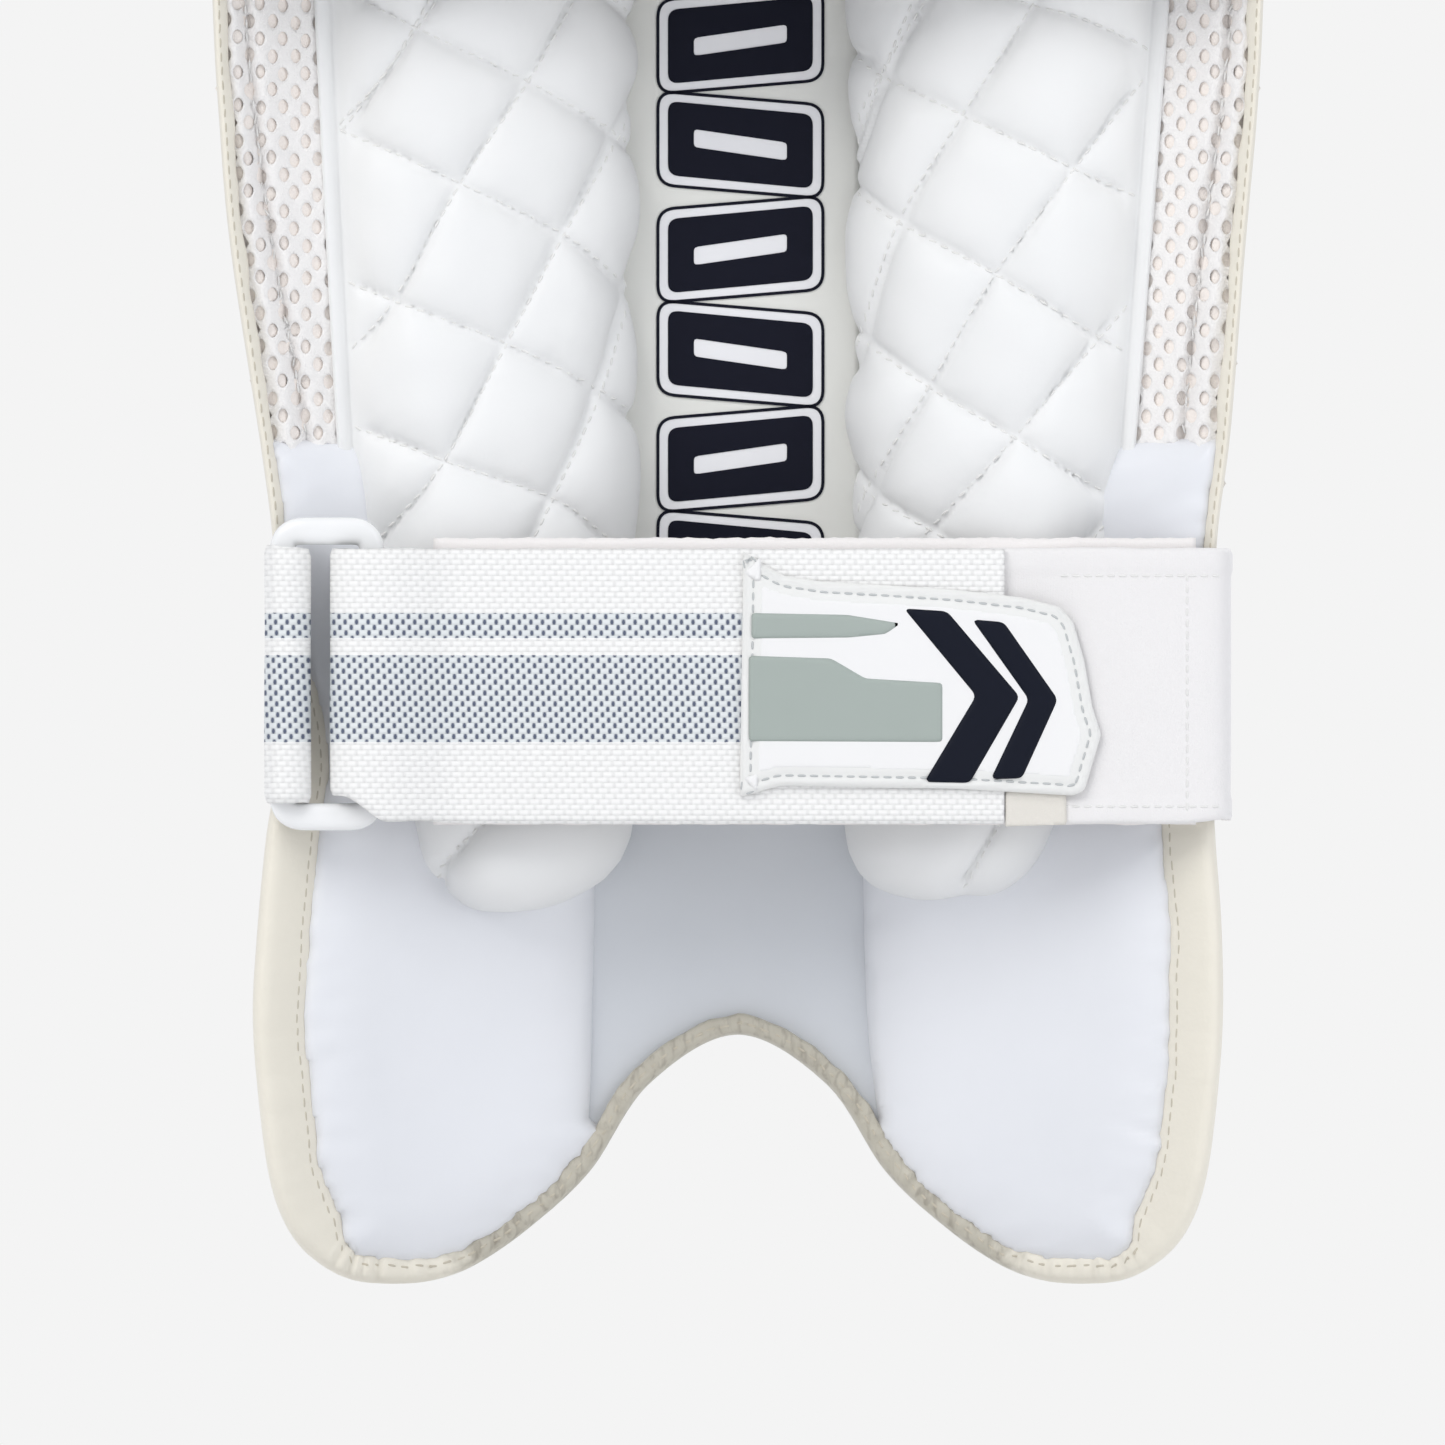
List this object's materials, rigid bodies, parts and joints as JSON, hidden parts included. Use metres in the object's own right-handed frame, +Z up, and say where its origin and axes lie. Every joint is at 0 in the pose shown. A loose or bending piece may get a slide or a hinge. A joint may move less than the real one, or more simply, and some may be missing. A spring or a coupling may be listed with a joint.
{
  "type": "cricket leg pad",
  "caption": "Cricket batting leg pad with a curved cane-ribbed shin shell, padded bolsters, knee rolls, hinged top hat and wings, and ring-and-tail straps.",
  "frame": {"origin": "centre of the bounding box on the floor plane, under the shell", "axes": "+Z up the leg, +Y out of the ball-facing front, +X to the right when the leg side is looked at; the leg lies on the -Y side"},
  "size_m": [0.3074, 0.1371, 0.7],
  "materials": {
    "white_cover": "smooth white coated polyurethane",
    "cream_cover": "smooth cream coated polyurethane",
    "panel_cover": "pale coated polyurethane with a printed motif",
    "mesh_fabric": "beige air mesh",
    "webbing": "woven webbing with grey stripes",
    "loop_fabric": "brushed loop fabric",
    "hook_tape": "hook tape",
    "ring_plastic": "white moulded plastic",
    "badge_rubber": "moulded soft rubber",
    "filling": "fibre filling",
    "foam": "closed-cell foam",
    "cane": "split cane"
  },
  "bodies": {
    "pad": {"ankle_anchor_loop": "webbing", "ankle_end_band": "loop_fabric", "ankle_loop_strap": "loop_fabric", "arch_lining": "white_cover", "binding_arch": "cream_cover", "binding_left": "cream_cover", "binding_right": "cream_cover", "binding_top": "cream_cover", "bolster_fill_left": "filling", "bolster_fill_right": "filling", "bolster_left": "white_cover", "bolster_right": "white_cover", "calf_anchor_loop": "webbing", "calf_end_band": "loop_fabric", "calf_loop_strap": "loop_fabric", "cane_rods": "cane", "centre_panel": "panel_cover", "foot_lining_left": "white_cover", "foot_lining_right": "white_cover", "knee_anchor_loop": "webbing", "knee_cup": "white_cover", "knee_end_band": "loop_fabric", "knee_lining": "mesh_fabric", "knee_loop_strap": "loop_fabric", "knee_roll_cores": "foam", "knee_roll_lower": "white_cover", "knee_roll_middle": "white_cover", "knee_roll_upper": "white_cover", "mesh_lining_left": "mesh_fabric", "mesh_lining_right": "mesh_fabric", "rib_cover_1": "white_cover", "rib_cover_2": "white_cover", "rib_cover_3": "white_cover", "rib_cover_4": "white_cover", "rib_cover_5": "white_cover", "rib_cover_6": "white_cover", "rib_cover_7": "white_cover", "shin_foam": "foam"},
    "top_hat": {"top_hat_board": "white_cover", "top_hat_hinge_roll": "cream_cover", "top_hat_lining": "mesh_fabric", "top_hat_ribs": "white_cover"},
    "wing_left": {"wing_left": "white_cover"},
    "wing_right": {"wing_right": "white_cover"},
    "ankle_ring": {"ankle_ring": "ring_plastic"},
    "ankle_tail": {"ankle_webbing": "webbing", "ankle_hook_patch": "hook_tape", "ankle_badge": "badge_rubber"},
    "calf_ring": {"calf_ring": "ring_plastic"},
    "calf_tail": {"calf_webbing": "webbing", "calf_hook_patch": "hook_tape", "calf_badge": "badge_rubber"},
    "knee_ring": {"knee_ring": "ring_plastic"},
    "knee_tail": {"knee_webbing": "webbing", "knee_hook_patch": "hook_tape", "knee_badge": "badge_rubber"}
  },
  "joints": [
    {"name": "top_hat_fold", "type": "hinge", "parent": "pad", "child": "top_hat", "pos_m": [0, 0.02616, 0.5643], "axis": [-1, 0, 0], "range_deg": [-4, 25]},
    {"name": "wing_left_fold", "type": "hinge", "parent": "pad", "child": "wing_left", "pos_m": [-0.1258, -0.03207, 0.5], "axis": [0, 0, -1], "range_deg": [-15, 30]},
    {"name": "wing_right_fold", "type": "hinge", "parent": "pad", "child": "wing_right", "pos_m": [0.1258, -0.03207, 0.5], "axis": [0, 0, 1], "range_deg": [-15, 30]},
    {"name": "ankle_ring_swing", "type": "hinge", "parent": "pad", "child": "ankle_ring", "pos_m": [-0.10045, -0.02472, 0.133], "axis": [0, 0, -1], "range_deg": [0, 30]},
    {"name": "ankle_tail_peel", "type": "hinge", "parent": "ankle_ring", "child": "ankle_tail", "pos_m": [-0.08065, -0.02472, 0.133], "axis": [0, 0, -1], "range_deg": [0, 120]},
    {"name": "calf_ring_swing", "type": "hinge", "parent": "pad", "child": "calf_ring", "pos_m": [-0.11273, -0.03713, 0.325], "axis": [0, 0, -1], "range_deg": [0, 30]},
    {"name": "calf_tail_peel", "type": "hinge", "parent": "calf_ring", "child": "calf_tail", "pos_m": [-0.09292, -0.03713, 0.325], "axis": [0, 0, -1], "range_deg": [0, 120]},
    {"name": "knee_ring_swing", "type": "hinge", "parent": "pad", "child": "knee_ring", "pos_m": [-0.11383, -0.03839, 0.408], "axis": [0, 0, -1], "range_deg": [0, 30]},
    {"name": "knee_tail_peel", "type": "hinge", "parent": "knee_ring", "child": "knee_tail", "pos_m": [-0.09403, -0.03839, 0.408], "axis": [0, 0, -1], "range_deg": [0, 120]}
  ]
}
